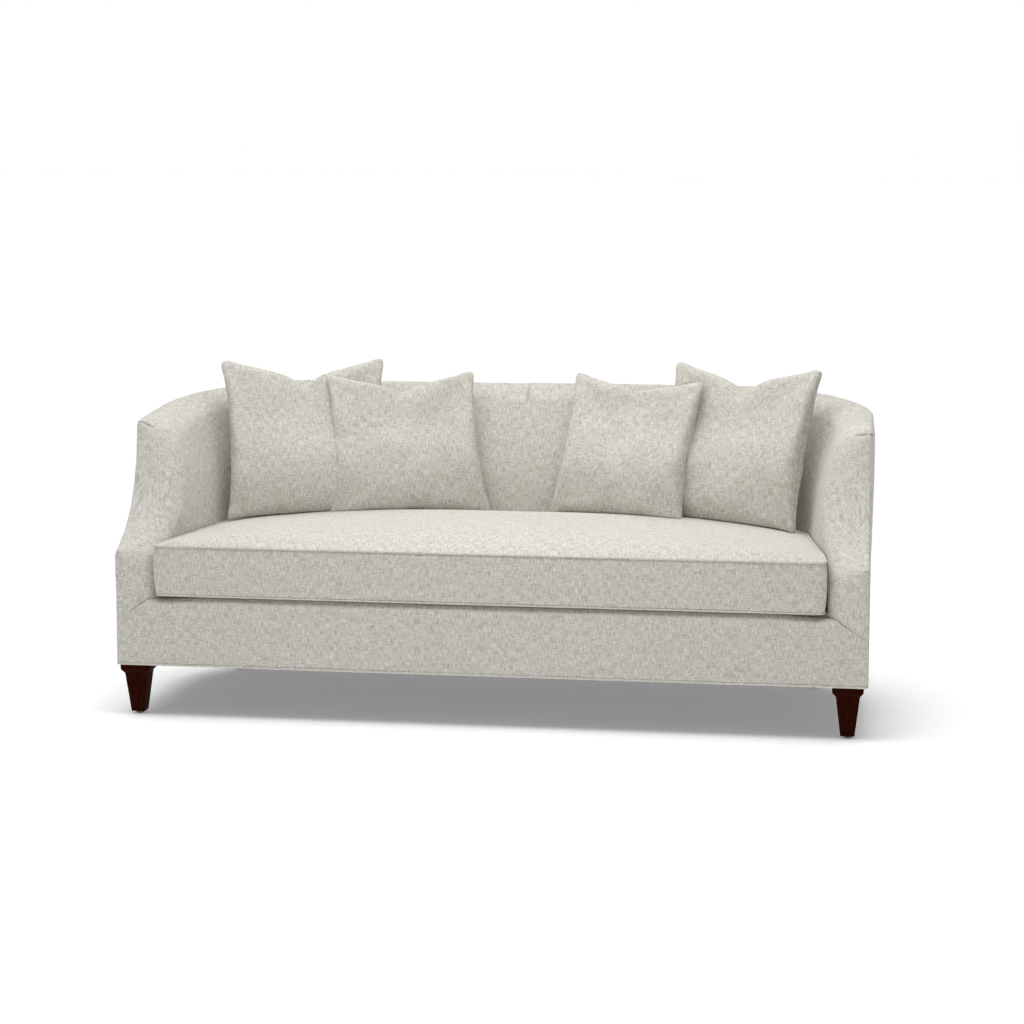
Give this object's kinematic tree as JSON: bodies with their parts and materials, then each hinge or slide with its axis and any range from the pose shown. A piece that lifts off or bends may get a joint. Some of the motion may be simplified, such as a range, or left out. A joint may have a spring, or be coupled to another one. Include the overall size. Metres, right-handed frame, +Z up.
{
  "type": "sofa",
  "caption": "Shelter-back sofa with a rounded continuous back and swept arms, a loose bench seat cushion, knife-edge throw pillows and tapered wood legs.",
  "frame": {"origin": "on the floor, under the middle of the sofa's bounding box", "axes": "+X to the right as seen by someone facing the front, +Y towards the back, +Z up"},
  "size_m": [2.134, 0.864, 0.9624],
  "materials": {
    "cover_fabric": "matte heathered linen weave",
    "cushion_fabric": "matte heathered linen weave",
    "pillow_fabric": "matte heathered linen weave",
    "leg_wood": "satin",
    "frame_wood": "matte",
    "spring_steel": "satin",
    "bolt_steel": "satin",
    "glide_metal": "satin",
    "deck_cloth": "matte",
    "dust_cloth": "matte"
  },
  "bodies": {
    "root": {"arm_front_post_left": "frame_wood", "arm_front_post_right": "frame_wood", "arm_rear_upright_left": "frame_wood", "arm_rear_upright_right": "frame_wood", "arm_top_rail_left": "frame_wood", "arm_top_rail_right": "frame_wood", "back_seat_rail": "frame_wood", "back_top_rail": "frame_wood", "back_upright_centre": "frame_wood", "back_upright_left": "frame_wood", "back_upright_right": "frame_wood", "corner_seat_rail_left": "frame_wood", "corner_seat_rail_right": "frame_wood", "corner_top_rail_left": "frame_wood", "corner_top_rail_right": "frame_wood", "dust_cover": "dust_cloth", "front_border": "cover_fabric", "front_corner_block_left": "frame_wood", "front_corner_block_right": "frame_wood", "front_glide_left": "glide_metal", "front_glide_right": "glide_metal", "front_leg_bolt_left": "bolt_steel", "front_leg_bolt_right": "bolt_steel", "front_leg_left": "leg_wood", "front_leg_right": "leg_wood", "front_seat_rail": "frame_wood", "inside_arm_left": "cover_fabric", "inside_arm_right": "cover_fabric", "inside_back": "cover_fabric", "inside_corner_left": "cover_fabric", "inside_corner_right": "cover_fabric", "outside_arm_left": "cover_fabric", "outside_arm_right": "cover_fabric", "outside_back": "cover_fabric", "rear_corner_block_left": "frame_wood", "rear_corner_block_right": "frame_wood", "rear_glide_left": "glide_metal", "rear_glide_right": "glide_metal", "rear_leg_bolt_left": "bolt_steel", "rear_leg_bolt_right": "bolt_steel", "rear_leg_left": "leg_wood", "rear_leg_right": "leg_wood", "seat_deck": "deck_cloth", "seat_spring_1": "spring_steel", "seat_spring_2": "spring_steel", "seat_spring_3": "spring_steel", "seat_spring_4": "spring_steel", "seat_spring_5": "spring_steel", "seat_spring_6": "spring_steel", "seat_spring_7": "spring_steel", "seat_stretcher_left": "frame_wood", "seat_stretcher_right": "frame_wood", "side_seat_rail_left": "frame_wood", "side_seat_rail_right": "frame_wood"},
    "seat_cushion": {"seat_cushion": "cushion_fabric"},
    "rear_pillow_right": {"rear_pillow_right": "pillow_fabric"},
    "rear_pillow_left": {"rear_pillow_left": "pillow_fabric"},
    "front_pillow_right": {"front_pillow_right": "pillow_fabric"},
    "front_pillow_left": {"front_pillow_left": "pillow_fabric"}
  },
  "joints": [
    {"name": "seat_cushion_lift", "type": "slide", "parent": "root", "child": "seat_cushion", "axis": [0, 0, 1], "range_m": [0, 0.56]},
    {"name": "rear_pillow_right_lift", "type": "slide", "parent": "seat_cushion", "child": "rear_pillow_right", "axis": [0.1077, 0.2537, 0.9613], "range_m": [0, 0.5]},
    {"name": "front_pillow_right_lift", "type": "slide", "parent": "seat_cushion", "child": "front_pillow_right", "axis": [0, 0, 1], "range_m": [0, 0.5]},
    {"name": "rear_pillow_left_lift", "type": "slide", "parent": "seat_cushion", "child": "rear_pillow_left", "axis": [-0.1077, 0.2537, 0.9613], "range_m": [0, 0.5]},
    {"name": "front_pillow_left_lift", "type": "slide", "parent": "seat_cushion", "child": "front_pillow_left", "axis": [0, 0, 1], "range_m": [0, 0.5]}
  ]
}
